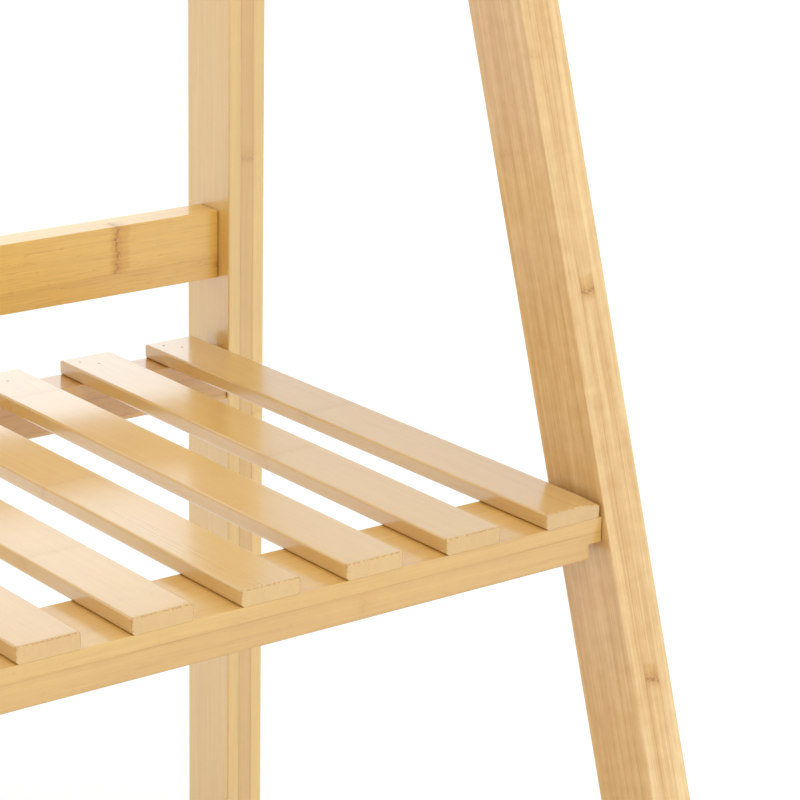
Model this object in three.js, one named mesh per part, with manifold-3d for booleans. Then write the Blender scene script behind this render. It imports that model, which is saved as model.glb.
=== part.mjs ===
// Bamboo ladder shelf: two side frames, each an upright rear post and a leaning front leg, joined by
// three slatted tiers, a guard rail above each tier and a rail across the top.
// Millimetres. +X is the user's right, +Y the back, +Z up. The origin is on the floor, under the
// middle of the outline. While the pieces are made, Y = 0 is the front face of the rear posts.

import * as THREE from 'three'
import { mergeVertices } from 'three/addons/utils/BufferGeometryUtils.js'
import Module from 'manifold-3d'

const wasm = await Module()
wasm.setup()

// ---- Driving dimensions ------------------------------------------------------------------------

const shelfHeight = 1120
const tierTops = [100, 390, 680]              // slat tops above the floor, lowest tier first
const jointGap = 0.3                          // between faces that touch
const edgeChamfer = 1.2

// Side frames
const frameThickness = 18.5                   // along X, posts and legs alike
const postDepth = 32
const legDepth = 31.5                         // square to the leg
const legLean = THREE.MathUtils.degToRad(17.7)
const footReach = 373                         // leg's front edge at the floor, ahead of the posts

// Slats
const slatCount = 7
const slatWidth = 25
const slatPitch = 45
const slatThickness = 6
const slatEdgeRadius = 1.5
const slatEndGap = 4.5                        // outermost slat to the side frame
const slatRearReach = 19                      // slats' rear ends, behind the posts' front face

// Rails
const frontRailDepth = 40
const frontRailHeight = 16
const railNotchWidth = 6                      // rabbet under each end of the front rail
const railNotchHeight = 6
const rearRailDepth = 17.5
const rearRailHeight = 19.5
const guardRailDepth = 14
const guardRailHeight = 30
const guardRailLift = 28                      // guard rail's underside above the slats
const guardRailSetback = 8                    // behind the posts' front face
const topRailDrop = 8                         // top rail's upper edge below the posts' tops

// Screws: round head in a counterbore, plain shank, hexagonal socket
const screwShankRadius = 3
const screwLength = 46                        // under the head
const screwHeadRadius = 5.5
const screwHeadHeight = 2.5
const socketRadius = 2.3
const socketDepth = 1.6
const screwClearance = 0.3
const counterboreDepth = 3
const frontScrewDrop = 10.5                   // front screws' axis below the slat tops
const frontScrewSetback = 16                  // and behind the leg's front edge at that height
const apexBoltDrops = [14, 42]                // apex bolts' axes below the posts' tops
const apexBoltLength = 40
const apexCounterboreDepth = 6                // from the leg's front edge at the bolt's height
const roundSides = 12

// ---- Worked-out places -------------------------------------------------------------------------

const slatSpan = (slatCount - 1) * slatPitch + slatWidth
const innerHalfWidth = slatSpan / 2 + slatEndGap
const outerHalfWidth = innerHalfWidth + frameThickness
const legRunPerRise = Math.tan(legLean)
const legHorizontalDepth = legDepth / Math.cos(legLean)
const outlineMiddle = (postDepth - footReach) / 2

const legFrontAt = z => legRunPerRise * z - footReach
const legRearAt = z => legFrontAt(z) + legHorizontalDepth

const colours = {
  post: 0xe2c497,
  leg: 0xdcb985,
  rail: 0xe0b878,
  slat: 0xe8c795,
  steel: 0x9a9c9f,
}

// ---- Shapes ------------------------------------------------------------------------------------

const outline = points => new THREE.Shape(points.map(([x, y]) => new THREE.Vector2(x, y)))

const rectangle = (x0, y0, x1, y1) => outline([[x0, y0], [x1, y0], [x1, y1], [x0, y1]])

// A board drawn in its own x-y plane, its thickness along z, with chamfers round both faces.
function board(shape, thickness, chamfer = edgeChamfer) {
  const geometry = new THREE.ExtrudeGeometry(shape, {
    depth: thickness - 2 * chamfer,
    bevelEnabled: true,
    bevelSegments: 1,
    bevelThickness: chamfer,
    bevelSize: chamfer,
    bevelOffset: -chamfer,
  })
  return geometry.translate(0, 0, chamfer)
}

// Board drawn in Y-Z, thickness along +X from x.
const boardAcross = (shape, thickness, x) =>
  board(shape, thickness).rotateY(Math.PI / 2).rotateX(Math.PI / 2).translate(x, 0, 0)

// Board drawn in X-Z, thickness along +Y from y.
const boardFacingFront = (shape, thickness, y) =>
  board(shape, thickness).rotateX(Math.PI / 2).translate(0, y + thickness, 0)

// Round bar along +X from its start point.
function roundBar(radius, length, [x, y, z]) {
  const bar = new THREE.CylinderGeometry(radius, radius, length, roundSides)
  return bar.rotateZ(Math.PI / 2).translate(x + length / 2, y, z)
}

// ---- Cutting -----------------------------------------------------------------------------------

function solidOf(geometry) {
  const bare = geometry.clone()
  bare.deleteAttribute('normal')
  bare.deleteAttribute('uv')
  const merged = mergeVertices(bare)
  const vertProperties = new Float32Array(merged.attributes.position.array)
  const triVerts = new Uint32Array(merged.index.array)
  return new wasm.Manifold(new wasm.Mesh({ numProp: 3, vertProperties, triVerts }))
}

function cut(geometry, cutters) {
  const result = cutters.reduce((body, cutter) => body.subtract(solidOf(cutter)), solidOf(geometry))
  const { vertProperties, triVerts, numProp } = result.getMesh()
  const cutGeometry = new THREE.BufferGeometry()
  const positions = new THREE.InterleavedBuffer(vertProperties, numProp)
  cutGeometry.setAttribute('position', new THREE.InterleavedBufferAttribute(positions, 3, 0))
  cutGeometry.setIndex(new THREE.BufferAttribute(triVerts, 1))
  const faceted = cutGeometry.toNonIndexed()
  faceted.computeVertexNormals()
  return faceted
}

// ---- Screws and their holes --------------------------------------------------------------------

// Every screw is made along +X with the underside of its head at the origin, and turned into place.
function screwGeometry(length) {
  const profile = [
    [0, -screwHeadHeight],
    [screwHeadRadius, -screwHeadHeight],
    [screwHeadRadius, 0],
    [screwShankRadius, 0],
    [screwShankRadius, length],
    [0, length],
  ].map(([radius, along]) => new THREE.Vector2(radius, along))
  const turned = new THREE.LatheGeometry(profile, roundSides).rotateZ(-Math.PI / 2)
  const socket = new THREE.CylinderGeometry(socketRadius, socketRadius, 2 * socketDepth, 6)
  return cut(turned, [socket.rotateZ(Math.PI / 2).translate(-screwHeadHeight, 0, 0)])
}

// The hole that takes a screw whose head's underside is at the origin, counterbored outwards.
function screwHoleCutters(length, counterbore) {
  const overrun = 2 * counterbore
  return [
    roundBar(screwShankRadius + screwClearance, length + 1 + jointGap, [-jointGap, 0, 0]),
    roundBar(screwHeadRadius + screwClearance, overrun, [-overrun - jointGap + screwClearance, 0, 0]),
  ]
}

// A screw's place: the underside of its head, and the way its point faces.
function screwPlace(name, seat, direction, length, counterbore) {
  const turn = new THREE.Quaternion().setFromUnitVectors(new THREE.Vector3(1, 0, 0), direction)
  const matrix = new THREE.Matrix4().compose(seat, turn, new THREE.Vector3(1, 1, 1))
  return {
    name,
    geometry: screwGeometry(length).applyMatrix4(matrix),
    cutters: screwHoleCutters(length, counterbore).map(cutter => cutter.applyMatrix4(matrix)),
  }
}

const sides = [
  { side: 'left', outward: -1 },
  { side: 'right', outward: 1 },
]

// A screw through a side frame into the end of a rail.
function frameScrew(name, outward, y, z) {
  const seatX = outward * (outerHalfWidth - counterboreDepth)
  const seat = new THREE.Vector3(seatX, y, z)
  return screwPlace(name, seat, new THREE.Vector3(-outward, 0, 0), screwLength, counterboreDepth)
}

function apexBolt(name, outward, z) {
  const seatX = outward * (innerHalfWidth + frameThickness / 2)
  const seat = new THREE.Vector3(seatX, legFrontAt(z) + apexCounterboreDepth, z)
  return screwPlace(name, seat, new THREE.Vector3(0, 1, 0), apexBoltLength, apexCounterboreDepth)
}

// ---- Pieces ------------------------------------------------------------------------------------

const shelf = new THREE.Group()
shelf.position.y = -outlineMiddle

function addPiece(name, geometry, colour, roughness = 0.4, metalness = 0) {
  const material = new THREE.MeshStandardMaterial({ color: colour, roughness, metalness })
  const mesh = new THREE.Mesh(geometry, material)
  mesh.name = name
  shelf.add(mesh)
}

const addScrews = screws =>
  screws.forEach(screw => addPiece(screw.name, screw.geometry, colours.steel, 0.35, 1))

const holesOf = screws => screws.flatMap(screw => screw.cutters)

function railBetweenFrames(depth, height, y, z) {
  const halfLength = innerHalfWidth - jointGap
  return boardFacingFront(rectangle(-halfLength, z, halfLength, z + height), depth, y)
}

// The front rail has a rabbet under each end.
function frontRail(y, z) {
  const end = innerHalfWidth - jointGap
  const notchX = end - railNotchWidth
  const notchZ = z + railNotchHeight
  const shape = outline([
    [-notchX, z], [notchX, z], [notchX, notchZ], [end, notchZ],
    [end, z + frontRailHeight], [-end, z + frontRailHeight], [-end, notchZ], [-notchX, notchZ],
  ])
  return boardFacingFront(shape, frontRailDepth, y)
}

function slat(x, frontY, topZ) {
  const shape = rectangle(x - slatWidth / 2, frontY, x + slatWidth / 2, slatRearReach)
  return board(shape, slatThickness, slatEdgeRadius).translate(0, 0, topZ - slatThickness)
}

// One tier: front, rear and guard rails with their screws, and the row of slats.
function addTier(name, topZ) {
  const frontY = legFrontAt(topZ)
  const railTop = topZ - slatThickness - jointGap
  const rearRailY = slatRearReach - rearRailDepth
  const guardZ = topZ + guardRailLift
  const frontScrewZ = topZ - frontScrewDrop
  const screwsFor = (rail, y, z) =>
    sides.map(({ side, outward }) => frameScrew(`${name}_${rail}_screw_${side}`, outward, y, z))

  const frontScrews = screwsFor('front', legFrontAt(frontScrewZ) + frontScrewSetback, frontScrewZ)
  const rearScrews = screwsFor('rear', rearRailY + rearRailDepth / 2, railTop - rearRailHeight / 2)
  const guardScrews = screwsFor('guard', guardRailSetback + guardRailDepth / 2,
    guardZ + guardRailHeight / 2)

  const front = frontRail(frontY, railTop - frontRailHeight)
  const rear = railBetweenFrames(rearRailDepth, rearRailHeight, rearRailY, railTop - rearRailHeight)
  const guard = railBetweenFrames(guardRailDepth, guardRailHeight, guardRailSetback, guardZ)
  addPiece(`${name}_front_rail`, cut(front, holesOf(frontScrews)), colours.rail)
  addPiece(`${name}_rear_rail`, cut(rear, holesOf(rearScrews)), colours.rail)
  addPiece(`${name}_guard_rail`, cut(guard, holesOf(guardScrews)), colours.rail)

  for (let i = 0; i < slatCount; i += 1) {
    const x = (i - (slatCount - 1) / 2) * slatPitch
    addPiece(`${name}_slat_${i + 1}`, slat(x, frontY, topZ), colours.slat)
  }
  const screws = [...frontScrews, ...rearScrews, ...guardScrews]
  addScrews(screws)
  return screws
}

// The rail across the top of the posts has the guard rails' section.
function addTopRail() {
  const z = shelfHeight - topRailDrop - guardRailHeight
  const screwY = guardRailSetback + guardRailDepth / 2
  const screws = sides.map(({ side, outward }) =>
    frameScrew(`top_rail_screw_${side}`, outward, screwY, z + guardRailHeight / 2))
  const rail = railBetweenFrames(guardRailDepth, guardRailHeight, guardRailSetback, z)
  addPiece('top_rail', cut(rail, holesOf(screws)), colours.rail)
  addScrews(screws)
  return screws
}

function addApexBolts() {
  const bolts = sides.flatMap(({ side, outward }) => apexBoltDrops.map((drop, i) =>
    apexBolt(`apex_bolt_${side}_${i + 1}`, outward, shelfHeight - drop)))
  addScrews(bolts)
  return bolts
}

// The leg is cut level at the floor and the top, and upright where it lies against the post.
function legOutline() {
  const restY = -jointGap
  const restZ = (restY - legRearAt(0)) / legRunPerRise
  return outline([
    [legFrontAt(0), 0], [legRearAt(0), 0], [restY, restZ],
    [restY, shelfHeight], [legFrontAt(shelfHeight), shelfHeight],
  ])
}

function addSideFrames(screws) {
  for (const { side, outward } of sides) {
    const own = screws.filter(screw => screw.name.includes(side))
    const innerX = outward > 0 ? innerHalfWidth : -outerHalfWidth
    const post = boardAcross(rectangle(0, 0, postDepth, shelfHeight), frameThickness, innerX)
    const leg = boardAcross(legOutline(), frameThickness, innerX)
    addPiece(`${side}_rear_post`, cut(post, holesOf(own)), colours.post)
    addPiece(`${side}_front_leg`, cut(leg, holesOf(own)), colours.leg)
  }
}

const tierScrews = tierTops.flatMap((topZ, i) => addTier(`tier_${i + 1}`, topZ))
addSideFrames([...tierScrews, ...addTopRail(), ...addApexBolts()])

export default shelf
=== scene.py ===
import math
import random

import bmesh
import bpy
from mathutils import Matrix, Vector


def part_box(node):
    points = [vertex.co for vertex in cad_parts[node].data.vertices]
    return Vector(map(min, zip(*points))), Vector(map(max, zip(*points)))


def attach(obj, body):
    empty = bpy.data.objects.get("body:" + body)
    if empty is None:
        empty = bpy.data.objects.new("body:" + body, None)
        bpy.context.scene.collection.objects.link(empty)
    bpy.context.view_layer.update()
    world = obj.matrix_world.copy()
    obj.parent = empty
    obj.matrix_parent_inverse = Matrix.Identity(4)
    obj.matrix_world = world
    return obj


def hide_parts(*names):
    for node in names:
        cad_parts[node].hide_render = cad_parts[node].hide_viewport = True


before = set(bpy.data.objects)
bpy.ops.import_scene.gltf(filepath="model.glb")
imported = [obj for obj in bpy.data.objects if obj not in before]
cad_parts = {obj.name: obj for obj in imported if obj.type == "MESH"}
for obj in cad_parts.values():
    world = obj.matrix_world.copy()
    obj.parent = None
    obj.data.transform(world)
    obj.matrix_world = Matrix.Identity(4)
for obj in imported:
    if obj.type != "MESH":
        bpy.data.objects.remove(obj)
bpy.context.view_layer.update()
random.seed(27)

MM = 0.001

# ---- sizes ---------------------------------------------------------------------------------------
LEAN = math.radians(17.7)            # the legs lean back from the floor
LEG_DEPTH = 31.5 * MM                # across the leg, square to its lean
EDGE_ROUND = 0.8 * MM                # eased edge of posts and legs
RAIL_ROUND = 0.3 * MM
SLAT_ROUND = 0.9 * MM                # a slat's long upper edges
SLAT_UNDER_ROUND = 1.3 * MM          # its long lower edges
SLAT_END_ROUND = 0.7 * MM            # round its ends, but not along the bottom
SLAT_THICK = 6.0 * MM
SLAT_SETTLE = 0.28 * MM              # a slat reaches down onto the rails, closing the CAD's gap
ROUND_STEPS = 4
RABBET = 6.0 * MM                    # step under each end of a front rail, wide and high
SCREW_SEAT = 3.0 * MM                # counterbore depth from the face to the head's seat
SCREW_HOLE = 3.3 * MM                # radius, like those of the next four
COUNTERBORE = 5.8 * MM
HEAD_RADIUS = 5.5 * MM
SHANK_RADIUS = 3.0 * MM
SOCKET_RADIUS = 2.3 * MM
HEAD_HEIGHT = 2.5 * MM
SOCKET_DEPTH = 1.6 * MM
SCREW_SIDES = 48
TIERS = (1, 2, 3)
SLATS = (1, 2, 3, 4, 5, 6, 7)
PICTURED_TIER = 2
FLAT_WIDTH = 0.6 * MM                # a face narrower than this belongs to an eased edge
END_RIM = 0.9 * MM                   # an eased edge nearer than this to a slat's end is its rim

LEG_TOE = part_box("right_front_leg")[0].y     # front edge of the leg on the floor
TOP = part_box("right_rear_post")[1].z


# ---- node graph helper ---------------------------------------------------------------------------
class Graph:
    """One material's node tree, with short calls for the nodes that the bamboo needs."""

    def __init__(self, name):
        self.material = bpy.data.materials.new(name)
        self.material.use_nodes = True
        self.tree = self.material.node_tree
        self.tree.nodes.clear()
        output = self.tree.nodes.new("ShaderNodeOutputMaterial")
        self.shader = self.tree.nodes.new("ShaderNodeBsdfPrincipled")
        self.tree.links.new(self.shader.outputs["BSDF"], output.inputs["Surface"])

    def put(self, value, socket):
        if isinstance(value, bpy.types.NodeSocket):
            self.tree.links.new(value, socket)
        elif value is not None:
            socket.default_value = value

    def math(self, kind, a, b=None, c=None, clamp=False):
        node = self.tree.nodes.new("ShaderNodeMath")
        node.operation = kind
        node.use_clamp = clamp
        for value, socket in zip((a, b, c), node.inputs):
            self.put(value, socket)
        return node.outputs[0]

    def add(self, a, b):
        return self.math("ADD", a, b)

    def sub(self, a, b):
        return self.math("SUBTRACT", a, b)

    def mul(self, a, b):
        return self.math("MULTIPLY", a, b)

    def step(self, value, low, high, to_low=0.0, to_high=1.0):
        """A smooth ramp from to_low at low to to_high at high."""
        node = self.tree.nodes.new("ShaderNodeMapRange")
        node.interpolation_type = "SMOOTHSTEP"
        for text, given in (("Value", value), ("From Min", low), ("From Max", high),
                            ("To Min", to_low), ("To Max", to_high)):
            self.put(given, node.inputs[text])
        return node.outputs[0]

    def line(self, distance, width):
        """1 on a line, fading to 0 at width from it."""
        return self.step(distance, width, 0.0)

    def attribute(self, name):
        node = self.tree.nodes.new("ShaderNodeAttribute")
        node.attribute_name = name
        return node

    def vector(self, x, y, z):
        node = self.tree.nodes.new("ShaderNodeCombineXYZ")
        for value, socket in zip((x, y, z), node.inputs):
            self.put(value, socket)
        return node.outputs[0]

    def split(self, vector):
        node = self.tree.nodes.new("ShaderNodeSeparateXYZ")
        self.put(vector, node.inputs[0])
        return node.outputs

    def noise(self, vector, detail=2.0, rough=0.5, twist=0.0):
        node = self.tree.nodes.new("ShaderNodeTexNoise")
        node.inputs["Scale"].default_value = 1.0
        node.inputs["Detail"].default_value = detail
        node.inputs["Roughness"].default_value = rough
        node.inputs["Distortion"].default_value = twist
        self.put(vector, node.inputs["Vector"])
        return node.outputs["Fac"]

    def cell(self, vector):
        node = self.tree.nodes.new("ShaderNodeTexWhiteNoise")
        node.noise_dimensions = "3D"
        self.put(vector, node.inputs["Vector"])
        return node.outputs["Value"]

    def mix(self, factor, a, b, kind="MIX"):
        node = self.tree.nodes.new("ShaderNodeMix")
        node.data_type = "RGBA"
        node.blend_type = kind
        node.clamp_factor = True
        self.put(factor, node.inputs["Factor"])
        for value, socket in ((a, node.inputs[6]), (b, node.inputs[7])):
            self.put((*value, 1.0) if isinstance(value, tuple) else value, socket)
        return node.outputs[2]

    def shade(self, amount, colour, filter_colour):
        """Darkens a colour by a share of each of red, green and blue."""
        return self.mix(amount, colour, filter_colour, "MULTIPLY")

    def bump(self, height, distance, under=None):
        node = self.tree.nodes.new("ShaderNodeBump")
        node.inputs["Strength"].default_value = 1.0
        node.inputs["Distance"].default_value = distance
        self.put(height, node.inputs["Height"])
        self.put(under, node.inputs["Normal"])
        return node.outputs["Normal"]


# ---- bamboo --------------------------------------------------------------------------------------
# How much of red, green and blue each mark leaves
WARM_TONE = (0.95, 0.60, 0.34)
BLUSH = (1.0, 0.93, 0.86)
DASH_STAIN = (0.80, 0.66, 0.40)
FLECK_STAIN = (0.72, 0.58, 0.32)
BAND_STAIN = (0.88, 0.77, 0.45)
TANGLE_STAIN = (0.82, 0.69, 0.33)
THREAD_STAIN = (0.66, 0.52, 0.22)
GLUE_STAIN = (0.88, 0.77, 0.54)
SEAM_STAIN = (0.64, 0.51, 0.25)
RIM_STAIN = (0.62, 0.45, 0.20)

LAYER_SEAM = 0.28 * MM               # half-widths of lines and bands
STRIP_SEAM = 0.22 * MM
GLUE_REACH = 1.5 * MM
TANGLE_REACH = 5.0 * MM
THREAD_REACH = 0.9 * MM
BAND_INNER, BAND_OUTER = 2.8 * MM, 5.0 * MM
BAND_ASIDE = 2.2 * MM                # the darker band lies to one side of the knuckle's line
SWAY = 5.5 * MM                      # how far the line wanders along the board
WAVE_HEIGHT = 0.10 * MM
GRAIN_HEIGHT = 0.025 * MM
STAGGER = 0.37                       # from one layer to the next, in strips and in knuckle spacings


def bamboo(name, pale, deep, layer, layer_shift, strip, strip_shift, spacing, core_layer,
           core_tone, seam, fibre, dashes, knuckles, outer_knuckles, roughness,
           lacquer=1.0, blur=0.16, ripple=0.2):
    """Laminated bamboo under satin lacquer.

    Every board carries its own grain coordinates: x along the fibres, y across the wide face and
    z through the laminations, in metres. layer and strip are the lamination sizes, spacing is the
    distance between the knuckles of one strip, core_layer is the lamination that shows them most,
    and core_tone makes that lamination darker. roughness and blur are the roughness of the wood and
    of the lacquer. The rest are strengths, and about 1 at most.
    """
    g = Graph(name)
    along, across, through = g.split(g.attribute("board").outputs["Vector"])
    tone, warmth, knuckle = g.split(g.attribute("mood").outputs["Vector"])
    seed = g.attribute("seed").outputs["Fac"]

    def stretched(along_rate, cross_rate, detail, rough=0.5, twist=0.0, shift=0.0):
        """Noise with cells 1/along_rate long and 1/cross_rate wide; each shift is another noise."""
        x = g.add(g.mul(along, along_rate), g.add(g.mul(seed, 7.31), shift))
        y = g.add(g.mul(across, cross_rate), shift)
        z = g.add(g.mul(through, cross_rate), g.mul(seed, 3.17))
        return g.noise(g.vector(x, y, z), detail, rough, twist)

    wander = g.sub(stretched(9.0, 40.0, 1.0), 0.5)
    layer_at = g.add(g.math("DIVIDE", through, layer), g.add(layer_shift, g.mul(wander, 0.06)))
    layer_id = g.math("FLOOR", layer_at)
    strip_at = g.add(g.math("DIVIDE", across, strip),
                     g.add(g.add(strip_shift, g.mul(wander, 0.04)), g.mul(layer_id, STAGGER)))
    strip_id = g.math("FLOOR", strip_at)
    cell = g.cell(g.vector(layer_id, strip_id, g.math("ROUND", g.mul(seed, 10.0))))

    def seam_line(position, pitch, width):
        edge = g.math("PINGPONG", position, 0.5)
        return g.line(g.mul(edge, pitch), width)

    broken = g.step(stretched(25.0, 60.0, 2.0, shift=4.0), 0.38, 0.58)
    layer_seam = g.mul(seam_line(layer_at, layer, LAYER_SEAM), g.add(g.mul(broken, 0.65), 0.35))
    strip_seam = g.mul(seam_line(strip_at, strip, STRIP_SEAM), g.add(g.mul(broken, 0.65), 0.35))
    seams = g.math("MAXIMUM", layer_seam, g.mul(strip_seam, 0.8))
    glue_shade = g.mul(seam_line(layer_at, layer, GLUE_REACH), 0.42)

    soft = stretched(2.2, 55.0, 2.0, shift=1.0)
    streak = stretched(13.0, 360.0, 3.0, 0.6, shift=2.0)
    hair = stretched(22.0, 1500.0, 2.0, 0.6, shift=3.0)
    dash = g.step(stretched(55.0, 2400.0, 2.0, 0.5, 0.4, shift=5.0), 0.58, 0.70)
    fleck = g.step(stretched(260.0, 700.0, 0.0, shift=6.0), 0.74, 0.80)

    # knuckles: a band of tangled fibres once per spacing, at its own place in every strip
    in_core = g.math("COMPARE", layer_id, core_layer, 0.1)
    place = g.add(g.mul(g.sub(layer_id, core_layer), STAGGER), g.mul(strip_id, 0.23))
    sway = g.mul(g.sub(stretched(30.0, 420.0, 2.0, 0.6, shift=7.0), 0.5), SWAY)
    turn = g.add(g.math("DIVIDE", g.add(g.sub(along, knuckle), sway), spacing), place)
    gap = g.mul(g.math("PINGPONG", turn, 0.5), spacing)
    beside = g.mul(g.math("PINGPONG", g.sub(turn, BAND_ASIDE / spacing), 0.5), spacing)
    tangle = stretched(600.0, 1100.0, 3.0, 0.7, 1.6, shift=8.0)
    strength = g.add(outer_knuckles, g.mul(in_core, knuckles - outer_knuckles))
    core = g.mul(g.mul(g.line(gap, TANGLE_REACH), g.step(tangle, 0.41, 0.53)), strength)
    thread = g.mul(g.mul(g.line(gap, THREAD_REACH), g.step(tangle, 0.38, 0.52)), strength)
    band = g.mul(g.step(beside, BAND_OUTER, BAND_INNER), strength)

    level = g.add(g.mul(g.sub(cell, 0.5), 0.45), g.mul(g.sub(soft, 0.5), 1.1 * fibre))
    level = g.sub(level, g.mul(in_core, core_tone))
    level = g.add(level, g.mul(g.sub(streak, 0.5), 1.25 * fibre))
    level = g.add(level, g.mul(g.sub(hair, 0.5), 0.75 * fibre))
    level = g.add(level, g.mul(g.sub(stretched(170.0, 150.0, 2.0, shift=12.0), 0.5), ripple))
    level = g.math("ADD", level, g.add(tone, 0.5), clamp=True)
    colour = g.mix(level, deep, pale)
    colour = g.shade(warmth, colour, WARM_TONE)
    blush = g.mul(g.step(stretched(5.0, 26.0, 1.0, shift=9.0), 0.45, 0.70), 0.35)
    colour = g.shade(blush, colour, BLUSH)
    colour = g.shade(g.mul(dash, 0.60 * dashes), colour, DASH_STAIN)
    colour = g.shade(g.mul(fleck, 0.35 * dashes), colour, FLECK_STAIN)
    colour = g.shade(g.mul(band, 0.75), colour, BAND_STAIN)
    colour = g.shade(core, colour, TANGLE_STAIN)
    colour = g.shade(thread, colour, THREAD_STAIN)
    colour = g.shade(g.mul(glue_shade, seam), colour, GLUE_STAIN)
    colour = g.shade(g.mul(seams, seam), colour, SEAM_STAIN)

    # edges are handled most: the lacquer there is rubbed a little paler and duller
    edge = g.attribute("edge").outputs["Fac"]
    rub = g.mul(g.step(edge, 0.0, 1.0), g.step(stretched(35.0, 90.0, 3.0, shift=10.0), 0.40, 0.62))
    colour = g.mix(g.mul(rub, 0.35), colour, pale)

    # the rims of the sawn ends hold small specks of darker stain
    speckle = g.step(stretched(1100.0, 1100.0, 1.0, shift=13.0), 0.36, 0.62)
    specks = g.mul(g.step(edge, 1.05, 1.5), speckle)
    colour = g.shade(g.mul(specks, 0.7), colour, RIM_STAIN)
    g.put(colour, g.shader.inputs["Base Color"])

    gloss = g.add(roughness, g.mul(g.sub(soft, 0.5), 0.10))
    gloss = g.add(gloss, g.mul(g.sub(hair, 0.5), 0.08))
    gloss = g.add(gloss, g.add(g.mul(rub, 0.12), g.mul(core, 0.10)))
    g.put(gloss, g.shader.inputs["Roughness"])
    relief = g.add(g.mul(hair, 0.5), g.add(g.mul(streak, 0.6), g.mul(core, 0.9)))
    relief = g.sub(relief, g.add(g.mul(seams, 1.2 * seam), g.mul(dash, 0.5)))
    waves = g.bump(stretched(14.0, 60.0, 1.0, shift=11.0), WAVE_HEIGHT)
    g.put(g.bump(relief, GRAIN_HEIGHT, waves), g.shader.inputs["Normal"])
    g.shader.inputs["IOR"].default_value = 1.5
    g.shader.inputs["Specular IOR Level"].default_value = 0.8
    g.shader.inputs["Coat Weight"].default_value = lacquer
    g.shader.inputs["Coat IOR"].default_value = 1.8
    g.shader.inputs["Coat Roughness"].default_value = blur
    return g.material


POST_PALE, POST_DEEP = (0.85, 0.605, 0.195), (0.66, 0.420, 0.108)
LEG_PALE, LEG_DEEP = (0.86, 0.635, 0.295), (0.64, 0.390, 0.122)
RAIL_PALE, RAIL_DEEP = (0.75, 0.480, 0.130), (0.59, 0.330, 0.075)
SLAT_PALE, SLAT_DEEP = (0.745, 0.495, 0.160), (0.605, 0.362, 0.100)
GUARD_PALE, GUARD_DEEP = (0.91, 0.600, 0.125), (0.73, 0.425, 0.078)
woods = {
    "post": bamboo(
        "bamboo_post", POST_PALE, POST_DEEP, layer=6.5 * MM, layer_shift=1.5, strip=44.0 * MM,
        strip_shift=0.5, spacing=0.310, core_layer=1.0, core_tone=0.35, seam=0.75, fibre=0.55,
        dashes=0.12, knuckles=0.35, outer_knuckles=0.25, roughness=0.34),
    "leg": bamboo(
        "bamboo_leg", LEG_PALE, LEG_DEEP, layer=6.5 * MM, layer_shift=1.5, strip=24.0 * MM,
        strip_shift=0.427, spacing=0.1497, core_layer=1.0, core_tone=0.10, seam=0.55, fibre=1.35,
        dashes=0.25, knuckles=1.0, outer_knuckles=0.10, roughness=0.38,
        lacquer=0.65, blur=0.26, ripple=0.75),
    "rail": bamboo(
        "bamboo_rail", RAIL_PALE, RAIL_DEEP, layer=10.0 * MM, layer_shift=0.78, strip=44.0 * MM,
        strip_shift=0.5, spacing=0.233, core_layer=0.0, core_tone=0.0, seam=0.65, fibre=0.75,
        dashes=0.55, knuckles=0.15, outer_knuckles=0.1, roughness=0.34, lacquer=0.75, ripple=0.35),
    "guard": bamboo(
        "bamboo_guard", GUARD_PALE, GUARD_DEEP, layer=7.6 * MM, layer_shift=0.0, strip=44.0 * MM,
        strip_shift=0.5, spacing=0.230, core_layer=-1.0, core_tone=0.0, seam=0.35, fibre=0.80,
        dashes=0.9, knuckles=1.0, outer_knuckles=0.5, roughness=0.36,
        lacquer=0.5, blur=0.18, ripple=0.3),
    "slat": bamboo(
        "bamboo_slat", SLAT_PALE, SLAT_DEEP, layer=12.0 * MM, layer_shift=0.5, strip=44.0 * MM,
        strip_shift=0.5, spacing=0.260, core_layer=0.0, core_tone=0.0, seam=0.4, fibre=0.45,
        dashes=0.35, knuckles=0.18, outer_knuckles=0.18, roughness=0.30),
}


TURNING_MARKS = (300.0, 1400.0, 1400.0)      # marks per metre along X, Y and Z


def steel(name, dull, bright):
    """Turned steel: fine marks vary its colour, roughness and relief."""
    g = Graph(name)
    place = g.tree.nodes.new("ShaderNodeTexCoord").outputs["Object"]
    scaled = g.tree.nodes.new("ShaderNodeVectorMath")
    scaled.operation = "MULTIPLY"
    g.put(place, scaled.inputs[0])
    scaled.inputs[1].default_value = TURNING_MARKS
    grain = g.noise(scaled.outputs[0], 3.0, 0.6)
    g.put(g.mix(grain, dull, bright), g.shader.inputs["Base Color"])
    g.put(g.add(g.mul(grain, 0.18), 0.24), g.shader.inputs["Roughness"])
    g.put(g.bump(grain, 0.02 * MM), g.shader.inputs["Normal"])
    g.shader.inputs["Metallic"].default_value = 1.0
    return g.material


screw_steel = steel("screw_steel", (0.60, 0.59, 0.57), (0.78, 0.77, 0.75))
# The brads are dark: partly their steel's own colour, partly painted shade standing for the sunk holes
# they sit in, which are not cut.
brad_steel_with_painted_hole_shade = steel("brad_steel_with_painted_hole_shade", (0.16, 0.12, 0.08), (0.34, 0.27, 0.18))


# ---- boards --------------------------------------------------------------------------------------
def prism(outline, axis, low, high):
    """A bmesh prism: the outline lies in the two other axes, in order, and axis runs low to high."""
    others = [i for i in range(3) if i != axis]
    bm = bmesh.new()
    ends = []
    for level in (low, high):
        ring = []
        for a, b in outline:
            point = [0.0, 0.0, 0.0]
            point[axis] = level
            point[others[0]] = a
            point[others[1]] = b
            ring.append(bm.verts.new(point))
        ends.append(ring)
    bm.faces.new(ends[0])
    bm.faces.new(list(reversed(ends[1])))
    count = len(outline)
    for i in range(count):
        j = (i + 1) % count
        bm.faces.new((ends[0][j], ends[0][i], ends[1][i], ends[1][j]))
    bmesh.ops.recalc_face_normals(bm, faces=bm.faces)
    return bm


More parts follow.
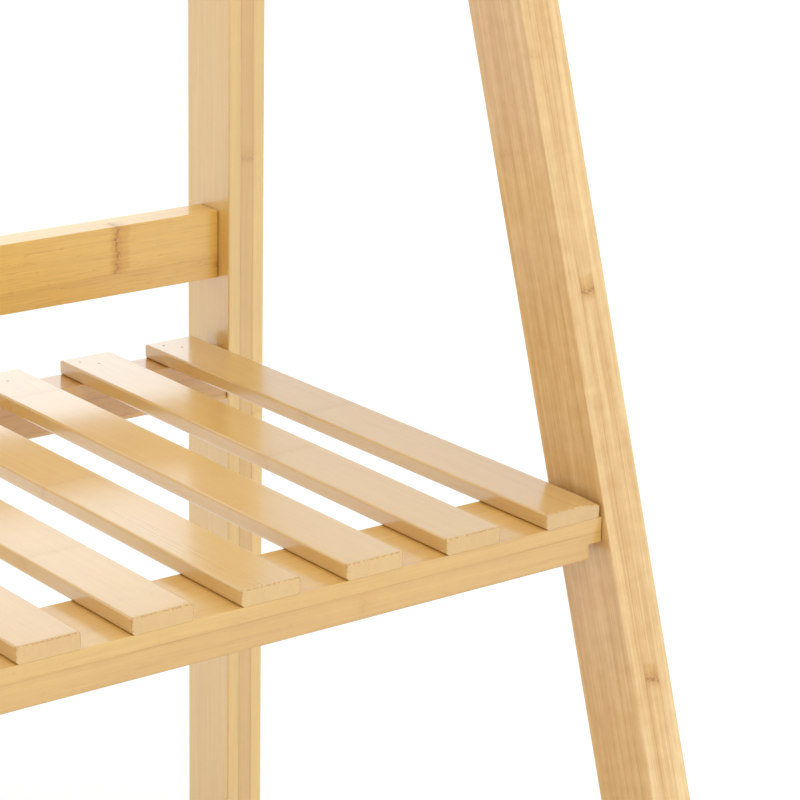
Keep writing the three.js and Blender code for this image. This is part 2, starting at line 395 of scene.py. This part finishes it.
def block(lo, hi):
    return prism([(lo.x, lo.y), (hi.x, lo.y), (hi.x, hi.y), (lo.x, hi.y)], 2, lo.z, hi.z)


def skinned(bm, loops):
    """Skins the loops, one after another, and closes both ends."""
    for near, far in zip(loops, loops[1:]):
        for i in range(len(near)):
            j = (i + 1) % len(near)
            bm.faces.new((near[i], near[j], far[j], far[i]))
    bm.faces.new(loops[0])
    bm.faces.new(loops[-1])
    bmesh.ops.recalc_face_normals(bm, faces=bm.faces)
    return bm


def ease(bm, radius):
    """Rounds every edge of the board."""
    bmesh.ops.bevel(bm, geom=bm.edges[:], offset=radius, offset_type="OFFSET",
                    segments=ROUND_STEPS, profile=0.5, affect="EDGES", clamp_overlap=True)
    return bm


def corner(x, z, radius, start):
    """A quarter round of a board's cross-section, about (x, z), from the angle start."""
    steps = ROUND_STEPS + 1
    angles = [start + math.pi / 2 * i / steps for i in range(steps + 1)]
    return [(x + radius * math.cos(angle), z + radius * math.sin(angle)) for angle in angles]


def slat_form(lo, hi):
    """A slat: long edges rounded above and below, ends eased except along the bottom."""
    above, under, end = SLAT_ROUND, SLAT_UNDER_ROUND, SLAT_END_ROUND

    def outline(inset):
        low = lo.z + under - inset
        ring = corner(lo.x + under, low, under - inset, math.pi)
        ring += corner(hi.x - under, low, under - inset, 1.5 * math.pi)
        ring += corner(hi.x - above, hi.z - above, above - inset, 0.0)
        ring += corner(lo.x + above, hi.z - above, above - inset, 0.5 * math.pi)
        return ring

    rows = []
    for i in range(ROUND_STEPS + 1):
        angle = math.pi / 2 * i / ROUND_STEPS
        rows.append((end * (1.0 - math.cos(angle)), end * (1.0 - math.sin(angle))))
    rows.append((2 * END_RIM, 0.0))
    stations = [(lo.y + depth, inset) for depth, inset in rows]
    stations += [(hi.y - depth, inset) for depth, inset in reversed(rows)]
    bm = bmesh.new()
    loops = [[bm.verts.new((x, y, z)) for x, z in outline(inset)] for y, inset in stations]
    return skinned(bm, loops)


def to_object(name, bm):
    mesh = bpy.data.meshes.new(name)
    bm.to_mesh(mesh)
    bm.free()
    made = bpy.data.objects.new(name, mesh)
    bpy.context.scene.collection.objects.link(made)
    return made


def apply_all(made):
    """Replaces the object's mesh by what its modifiers make of it."""
    evaluated = made.evaluated_get(bpy.context.evaluated_depsgraph_get())
    mesh = bpy.data.meshes.new_from_object(evaluated)
    made.modifiers.clear()
    old = made.data
    made.data = mesh
    bpy.data.meshes.remove(old)


def smooth(made, angle=40.0):
    for polygon in made.data.polygons:
        polygon.use_smooth = True
    made.data.set_sharp_from_angle(angle=math.radians(angle))
    even = made.modifiers.new("even_shading", "WEIGHTED_NORMAL")
    even.keep_sharp = True
    even.weight = 100


def grained(made, kind, origin, axes, mood, knuckle=0.0):
    """Gives each vertex its place in the board's own grain, and the board its tone; the rear rails'
    tone holds painted shade.

    mood is the board's tone and warmth, and knuckle is where along it one of its knuckles lies.
    The edge attribute is 0 on a flat, 1 on an eased edge and 2 on the rim of a slat's end.
    """
    mesh = made.data
    seed = random.uniform(0.0, 9.0)
    flat = {}
    for polygon in mesh.polygons:
        spots = [mesh.vertices[i].co for i in polygon.vertices]
        longest = max((a - b).length for a, b in zip(spots, spots[1:] + spots[:1]))
        for vertex in polygon.vertices:
            flat[vertex] = max(flat.get(vertex, 0.0), polygon.area / longest)
    reach = max(abs((vertex.co - origin).dot(axes[0])) for vertex in mesh.vertices)
    places, tints, numbers, worn = [], [], [], []
    for i, vertex in enumerate(mesh.vertices):
        offset = vertex.co - origin
        places.extend(offset.dot(axis) for axis in axes)
        tints.extend((mood[0], mood[1], knuckle))
        numbers.append(seed)
        at_end = kind == "slat" and reach - abs(offset.dot(axes[0])) < END_RIM
        rim = 2.0 if at_end else 1.0
        worn.append(rim if flat.get(i, 0.0) < FLAT_WIDTH else 0.0)
    for name in ("board", "mood"):
        mesh.attributes.new(name, "FLOAT_VECTOR", "POINT")
    for name in ("seed", "edge"):
        mesh.attributes.new(name, "FLOAT", "POINT")
    mesh.attributes["board"].data.foreach_set("vector", places)
    mesh.attributes["mood"].data.foreach_set("vector", tints)
    mesh.attributes["seed"].data.foreach_set("value", numbers)
    mesh.attributes["edge"].data.foreach_set("value", worn)
    mesh.materials.clear()
    mesh.materials.append(woods[kind])
    smooth(made)
    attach(made, "root")


X_AXIS = Vector((1.0, 0.0, 0.0))
Y_AXIS = Vector((0.0, 1.0, 0.0))
Z_AXIS = Vector((0.0, 0.0, 1.0))
UP_LEG = Vector((0.0, math.sin(LEAN), math.cos(LEAN)))
ACROSS_LEG = Vector((0.0, math.cos(LEAN), -math.sin(LEAN)))


# ---- screw holes ---------------------------------------------------------------------------------
def lathe(rows, spot, inward, sides):
    """A turned form. Its rows, from the outside in, are (depth, radius) and may add a share from 0
    for round to 1 for hexagonal."""
    hexagon = math.tau / 6
    one = inward.orthogonal().normalized()
    two = inward.cross(one)
    bm = bmesh.new()
    loops = []
    for depth, radius, *shares in rows:
        share = shares[0] if shares else 0.0
        loop = []
        for i in range(sides):
            angle = math.tau * i / sides
            inside = (angle + hexagon / 2) % hexagon - hexagon / 2
            flat_side = radius * math.cos(hexagon / 2) / math.cos(inside)
            reach = radius + (flat_side - radius) * share
            outward = one * math.cos(angle) + two * math.sin(angle)
            loop.append(bm.verts.new(spot + inward * depth + outward * reach))
        loops.append(loop)
    return skinned(bm, loops)


def screw_line(node, inward):
    """The point on the wood's face over a screw's head, and the screw's length."""
    lo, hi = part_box(node)
    middle = (lo + hi) / 2
    outer = lo if inward.dot(Vector((1.0, 1.0, 1.0))) > 0 else hi
    axis = 0 if abs(inward.x) > 0.5 else 1
    spot = middle.copy()
    spot[axis] = outer[axis] - inward[axis] * (SCREW_SEAT - HEAD_HEIGHT)
    return spot, abs(hi[axis] - lo[axis])


def screw(node, inward):
    spot, length = screw_line(node, inward)
    top = SCREW_SEAT - HEAD_HEIGHT
    # socket floor and wall, its softened rim, the domed crown, the head's flank, then the shank
    rows = [
        (top + SOCKET_DEPTH, 0.25 * SOCKET_RADIUS, 1.0),
        (top + SOCKET_DEPTH, SOCKET_RADIUS, 1.0),
        (top + 0.20 * MM, SOCKET_RADIUS, 1.0),
        (top + 0.02 * MM, SOCKET_RADIUS + 0.22 * MM, 0.85),
        (top, SOCKET_RADIUS + 0.9 * MM),
        (top + 0.03 * MM, HEAD_RADIUS - 1.3 * MM),
        (top + 0.16 * MM, HEAD_RADIUS - 0.6 * MM),
        (top + 0.45 * MM, HEAD_RADIUS - 0.18 * MM),
        (top + 0.90 * MM, HEAD_RADIUS),
        (top + HEAD_HEIGHT - 0.1 * MM, HEAD_RADIUS),
        (top + HEAD_HEIGHT, HEAD_RADIUS - 0.1 * MM),
        (top + HEAD_HEIGHT, SHANK_RADIUS + 0.3 * MM),
        (top + HEAD_HEIGHT + 0.4 * MM, SHANK_RADIUS),
        (top + length - 4.0 * MM, SHANK_RADIUS),
        (top + length, 0.5 * MM),
    ]
    made = to_object(node + "_steel", lathe(rows, spot, inward, SCREW_SIDES))
    made.data.materials.append(screw_steel)
    smooth(made, 35.0)
    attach(made, "root")
    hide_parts(node)
    return spot, inward, length


def drilled(made, screws):
    """Cuts the screws' counterbores, with softened rims, and their holes."""
    cutters = []
    for spot, inward, length in screws:
        rings = [(-2.0 * MM, COUNTERBORE + 0.35 * MM), (0.0, COUNTERBORE + 0.35 * MM),
                 (0.15 * MM, COUNTERBORE + 0.12 * MM), (0.40 * MM, COUNTERBORE),
                 (SCREW_SEAT, COUNTERBORE), (SCREW_SEAT, SCREW_HOLE), (length + 1.0 * MM, SCREW_HOLE)]
        cutter = to_object("cutter", lathe(rings, spot, inward, SCREW_SIDES))
        cutters.append(cutter)
        cut = made.modifiers.new("hole", "BOOLEAN")
        cut.operation = "DIFFERENCE"
        cut.solver = "EXACT"
        cut.object = cutter
    bpy.context.view_layer.update()
    apply_all(made)
    for cutter in cutters:
        mesh = cutter.data
        bpy.data.objects.remove(cutter)
        bpy.data.meshes.remove(mesh)


screws = {}
for side, inward in (("left", X_AXIS), ("right", -X_AXIS)):
    in_post, in_leg = [], []
    for tier in TIERS:
        in_leg.append(screw(f"tier_{tier}_front_screw_{side}", inward))
        in_post.append(screw(f"tier_{tier}_rear_screw_{side}", inward))
        in_post.append(screw(f"tier_{tier}_guard_screw_{side}", inward))
    in_post.append(screw(f"top_rail_screw_{side}", inward))
    bolts = [screw(f"apex_bolt_{side}_{number}", Y_AXIS) for number in (1, 2)]
    screws[side] = (in_post, in_leg, bolts)


# ---- posts and legs ------------------------------------------------------------------------------
def leg_front(z):
    return LEG_TOE + math.tan(LEAN) * z


def leg_outline(joint):
    """The leg's side view: level on the floor and at the top, and cut upright along the post."""
    wide = LEG_DEPTH / math.cos(LEAN)
    meets = (joint - LEG_TOE - wide) / math.tan(LEAN)
    return [(leg_front(0.0), 0.0), (leg_front(0.0) + wide, 0.0), (joint, meets),
            (joint, TOP), (leg_front(TOP), TOP)]


# (tone, warmth) of the boards, and where the pictured ones have a knuckle
POST_MOOD, POST_KNUCKLE = (0.06, 0.10), 0.471
LEG_MOOD, LEG_KNUCKLE = (0.04, 0.12), 0.3385
FRONT_RAIL_MOOD = (0.05, 0.05)
# The rear rails are set darker and warmer than the front ones: painted shade, for their place under
# the back ends of the slats.
REAR_RAIL_PAINTED_SHADE_MOOD = (-0.28, 0.20)
GUARD_MOOD, GUARD_KNUCKLE = (0.02, 0.0), 0.100
TOP_RAIL_MOOD = (0.0, 0.2)
PICTURED_SLAT_WARMTH = 0.05

for side in ("left", "right"):
    in_post, in_leg, bolts = screws[side]
    lo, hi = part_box(f"{side}_rear_post")
    post = to_object(f"{side}_rear_post_bamboo", ease(block(lo, hi), EDGE_ROUND))
    drilled(post, in_post + bolts)
    centre = (lo + hi) / 2
    grained(post, "post", Vector((centre.x, centre.y, 0.0)), (Z_AXIS, Y_AXIS, X_AXIS),
            POST_MOOD, POST_KNUCKLE)
    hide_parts(f"{side}_rear_post")

    lo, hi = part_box(f"{side}_front_leg")
    form = prism(leg_outline(hi.y), 0, lo.x, hi.x)
    leg = to_object(f"{side}_front_leg_bamboo", ease(form, EDGE_ROUND))
    drilled(leg, in_leg + bolts)
    foot = Vector(((lo.x + hi.x) / 2, LEG_TOE, 0.0)) + ACROSS_LEG * (LEG_DEPTH / 2)
    grained(leg, "leg", foot, (UP_LEG, ACROSS_LEG, X_AXIS), LEG_MOOD, LEG_KNUCKLE)
    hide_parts(f"{side}_front_leg")


# ---- rails ---------------------------------------------------------------------------------------
def rail(node, kind, bm, mood, knuckle=0.0):
    lo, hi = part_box(node)
    made = to_object(node + "_bamboo", ease(bm, RAIL_ROUND))
    centre = (lo + hi) / 2
    axes = (X_AXIS, Z_AXIS, Y_AXIS) if kind == "guard" else (X_AXIS, Y_AXIS, Z_AXIS)
    grained(made, kind, centre, axes, mood, knuckle)
    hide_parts(node)


for tier in TIERS:
    lo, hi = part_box(f"tier_{tier}_front_rail")
    step_up = lo.z + RABBET
    outline = [(lo.x + RABBET, lo.z), (hi.x - RABBET, lo.z), (hi.x - RABBET, step_up), (hi.x, step_up),
               (hi.x, hi.z), (lo.x, hi.z), (lo.x, step_up), (lo.x + RABBET, step_up)]
    form = prism(outline, 1, lo.y, hi.y)
    rail(f"tier_{tier}_front_rail", "rail", form, FRONT_RAIL_MOOD, 0.02 * tier)
    form = block(*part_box(f"tier_{tier}_rear_rail"))
    rail(f"tier_{tier}_rear_rail", "rail", form, REAR_RAIL_PAINTED_SHADE_MOOD, 0.05 * tier)
    form = block(*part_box(f"tier_{tier}_guard_rail"))
    rail(f"tier_{tier}_guard_rail", "guard", form, GUARD_MOOD,
         GUARD_KNUCKLE if tier == PICTURED_TIER else 0.03 * tier)
rail("top_rail", "guard", block(*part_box("top_rail")), TOP_RAIL_MOOD, -0.06)


# ---- slats and their brads -----------------------------------------------------------------------
BRAD_RADIUS = 0.55 * MM
BRAD_PROUD = 0.06 * MM
BRAD_DEPTH = 4.0 * MM
BRADS = ((-7.5 * MM, 11.0 * MM), (-1.0 * MM, 4.0 * MM))  # from the slat's middle and the rail's front
SKEWED_SLAT = (PICTURED_TIER, 7)
SKEW = math.radians(0.75)
WORN_WIDE = 7.0 * MM
WORN_LONG = 11.0 * MM
WORN_DROP = 1.5 * MM
WORN_OUT = 1.6 * MM
WORN_CUTS = 6


def wear_corner(bm, tip):
    """Sands the slat's front right corner down and out, towards the leg."""
    for i in range(1, WORN_CUTS + 1):
        for spot, normal in ((tip - X_AXIS * WORN_WIDE * i / WORN_CUTS, X_AXIS),
                             (tip + Y_AXIS * WORN_LONG * i / WORN_CUTS, Y_AXIS)):
            bmesh.ops.bisect_plane(bm, geom=bm.verts[:] + bm.edges[:] + bm.faces[:],
                                   plane_co=spot, plane_no=normal, dist=1e-6)
    for vertex in bm.verts:
        near_x = 1.0 - (tip.x - vertex.co.x) / WORN_WIDE
        near_y = 1.0 - (vertex.co.y - tip.y) / WORN_LONG
        if near_x > 0.0 and near_y > 0.0:
            share = min(1.0, near_x) * min(1.0, near_y)
            height = (vertex.co.z - tip.z) / SLAT_THICK + 1.0
            vertex.co.z -= WORN_DROP * share * max(0.0, height)
            vertex.co.x += WORN_OUT * share


def brad(bm, spot):
    rings = [(0.0, BRAD_RADIUS * 0.6), (0.03 * MM, BRAD_RADIUS), (0.12 * MM, BRAD_RADIUS),
             (BRAD_DEPTH, BRAD_RADIUS * 0.8)]
    pin = lathe(rings, spot + Z_AXIS * BRAD_PROUD, -Z_AXIS, 12)
    mesh = bpy.data.meshes.new("pin")
    pin.to_mesh(mesh)
    pin.free()
    bm.from_mesh(mesh)
    bpy.data.meshes.remove(mesh)


for tier in TIERS:
    pins = bmesh.new()
    rear_lo, rear_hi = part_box(f"tier_{tier}_rear_rail")
    for number in SLATS:
        node = f"tier_{tier}_slat_{number}"
        lo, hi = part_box(node)
        centre = (lo + hi) / 2
        board = slat_form(lo - Z_AXIS * SLAT_SETTLE, hi)
        if (tier, number) == SKEWED_SLAT:
            wear_corner(board, Vector((hi.x, lo.y, hi.z)))
        made = to_object(node + "_bamboo", board)
        if (tier, number) == SKEWED_SLAT:
            turn = SKEW
        else:
            turn = math.radians(random.uniform(-0.12, 0.12))
        spin = Matrix.Rotation(turn, 4, "Z")
        spin = Matrix.Translation(centre) @ spin @ Matrix.Translation(-centre)
        made.data.transform(spin)
        mood = (random.uniform(-0.12, 0.12), random.uniform(0.0, 0.15))
        if tier == PICTURED_TIER:
            mood = (random.uniform(-0.06, 0.06), PICTURED_SLAT_WARMTH)
        grained(made, "slat", centre, (Y_AXIS, X_AXIS, Z_AXIS), mood, random.uniform(-0.1, 0.1))
        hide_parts(node)
        for x, y in BRADS:
            spot = Vector((centre.x + x + random.uniform(-1.0, 1.0) * MM,
                           rear_lo.y + y + random.uniform(-1.0, 1.0) * MM, hi.z))
            brad(pins, spin @ spot)
    brads = to_object(f"tier_{tier}_brads", pins)
    brads.data.materials.append(brad_steel_with_painted_hole_shade)
    smooth(brads)
    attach(brads, "root")


# ---- floor, light and camera ---------------------------------------------------------------------
def floor_finish():
    """Matt pale floor, which glows faintly away from the object, as a lit studio sweep does."""
    g = Graph("pale_floor")
    place = g.tree.nodes.new("ShaderNodeTexCoord").outputs["Object"]
    away = g.tree.nodes.new("ShaderNodeVectorMath")
    away.operation = "LENGTH"
    g.put(place, away.inputs[0])
    speckle = g.noise(place, 2.0, 0.5)
    g.put(g.mix(speckle, (0.85, 0.85, 0.85), (0.87, 0.87, 0.87)), g.shader.inputs["Base Color"])
    g.put(g.step(away.outputs["Value"], FLOOR_NEAR, FLOOR_FAR, 0.0, FLOOR_GLOW),
          g.shader.inputs["Emission Strength"])
    g.shader.inputs["Emission Color"].default_value = (1.0, 1.0, 1.0, 1.0)
    g.shader.inputs["Roughness"].default_value = 0.85
    return g.material


FLOOR_REACH = 30.0
FLOOR_NEAR = 0.30
FLOOR_FAR = 1.05
FLOOR_GLOW = 0.06
bm = bmesh.new()
bmesh.ops.create_grid(bm, x_segments=1, y_segments=1, size=FLOOR_REACH)
floor = to_object("floor", bm)
floor.data.materials.append(floor_finish())

SKY_STRENGTH = 0.95
DIM_HEADING, DIM_HEIGHT = math.radians(48.0), math.radians(24.0)
DIM_INNER, DIM_OUTER = math.radians(14.0), math.radians(34.0)
DIM_LEVEL = 0.92
world = bpy.data.worlds.new("studio")
bpy.context.scene.world = world
world.use_nodes = True
sky = world.node_tree.nodes["Background"]
sky.inputs["Strength"].default_value = SKY_STRENGTH


def shade_sky(heading, height, inner, outer, level):
    """The studio is less bright round one direction, as beside the edge of a white backdrop."""
    tree = world.node_tree
    source = tree.nodes.new("ShaderNodeTexCoord")
    facing = tree.nodes.new("ShaderNodeVectorMath")
    facing.operation = "DOT_PRODUCT"
    tree.links.new(source.outputs["Generated"], facing.inputs[0])
    facing.inputs[1].default_value = (math.sin(heading) * math.cos(height),
                                      math.cos(heading) * math.cos(height), math.sin(height))
    ramp = tree.nodes.new("ShaderNodeMapRange")
    ramp.interpolation_type = "SMOOTHSTEP"
    tree.links.new(facing.outputs["Value"], ramp.inputs["Value"])
    ramp.inputs["From Min"].default_value = math.cos(outer)
    ramp.inputs["From Max"].default_value = math.cos(inner)
    ramp.inputs["To Min"].default_value = 1.0
    ramp.inputs["To Max"].default_value = level
    tree.links.new(ramp.outputs["Result"], sky.inputs["Color"])


shade_sky(DIM_HEADING, DIM_HEIGHT, DIM_INNER, DIM_OUTER, DIM_LEVEL)


def aimed(name, data, spot, toward):
    """Links a light at spot that shines along toward."""
    made = bpy.data.objects.new(name, data)
    bpy.context.scene.collection.objects.link(made)
    made.location = spot
    made.rotation_mode = "QUATERNION"
    made.rotation_quaternion = (-toward).to_track_quat("Z", "Y")
    return made


# The key light comes from in front, a little from the left, and from above.
KEY_HEADING = math.radians(-6.0)
KEY_HEIGHT = math.radians(64.0)
KEY_ENERGY = 0.75
KEY_SPREAD = math.radians(35.0)
sun = bpy.data.lights.new("key", "SUN")
sun.energy = KEY_ENERGY
sun.angle = KEY_SPREAD
source = Vector((math.sin(KEY_HEADING) * math.cos(KEY_HEIGHT),
                 -math.cos(KEY_HEADING) * math.cos(KEY_HEIGHT), math.sin(KEY_HEIGHT)))
aimed("key", sun, source, -source)

# A wide panel stands behind on the left: its sheen lies on the tops of slats and rails.
PANEL_LEFT, PANEL_RIGHT = -0.6, 2.05
PANEL_LOW, PANEL_HIGH = 0.45, 1.80
PANEL_BACK = 3.0
PANEL_GLOW = 0.80
PANEL_TINT = (0.80, 0.93, 1.0)         # daylight, a little cooler than the rest
panel = bpy.data.lights.new("back_panel", "AREA")
panel.shape = "RECTANGLE"
panel.color = PANEL_TINT
panel.size = PANEL_RIGHT - PANEL_LEFT
panel.size_y = PANEL_HIGH - PANEL_LOW
panel.energy = PANEL_GLOW * 4.0 * panel.size * panel.size_y
panel_spot = Vector(((PANEL_LEFT + PANEL_RIGHT) / 2, PANEL_BACK, (PANEL_LOW + PANEL_HIGH) / 2))
behind = aimed("back_panel", panel, panel_spot, -Y_AXIS)
behind.visible_camera = False

# The camera looks at the right end of the middle tier from in front, left and above.
inner_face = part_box("right_rear_post")[0]
slat_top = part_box(f"tier_{PICTURED_TIER}_slat_7")[1].z
CAMERA_OFFSET = Vector((-731.55, -1066.30, 386.73)) * MM
HEADING = math.radians(37.786)
DOWN = math.radians(17.668)
ROLL = math.radians(1.143)
LENS = 139.05

ahead = Vector((math.sin(HEADING) * math.cos(DOWN), math.cos(HEADING) * math.cos(DOWN),
                -math.sin(DOWN)))
level_right = Vector((math.cos(HEADING), -math.sin(HEADING), 0.0))
level_up = level_right.cross(ahead)
right = level_right * math.cos(ROLL) + level_up * math.sin(ROLL)
up = level_up * math.cos(ROLL) - level_right * math.sin(ROLL)
camera_data = bpy.data.cameras.new("camera")
camera_data.lens = LENS
camera_data.sensor_width = 36.0
camera = bpy.data.objects.new("camera", camera_data)
bpy.context.scene.collection.objects.link(camera)
spot = Vector((inner_face.x, inner_face.y, slat_top)) + CAMERA_OFFSET
camera.matrix_world = Matrix((
    (right.x, up.x, -ahead.x, spot.x),
    (right.y, up.y, -ahead.y, spot.y),
    (right.z, up.z, -ahead.z, spot.z),
    (0.0, 0.0, 0.0, 1.0),
))
bpy.context.scene.camera = camera
bpy.context.scene.view_settings.view_transform = "Standard"
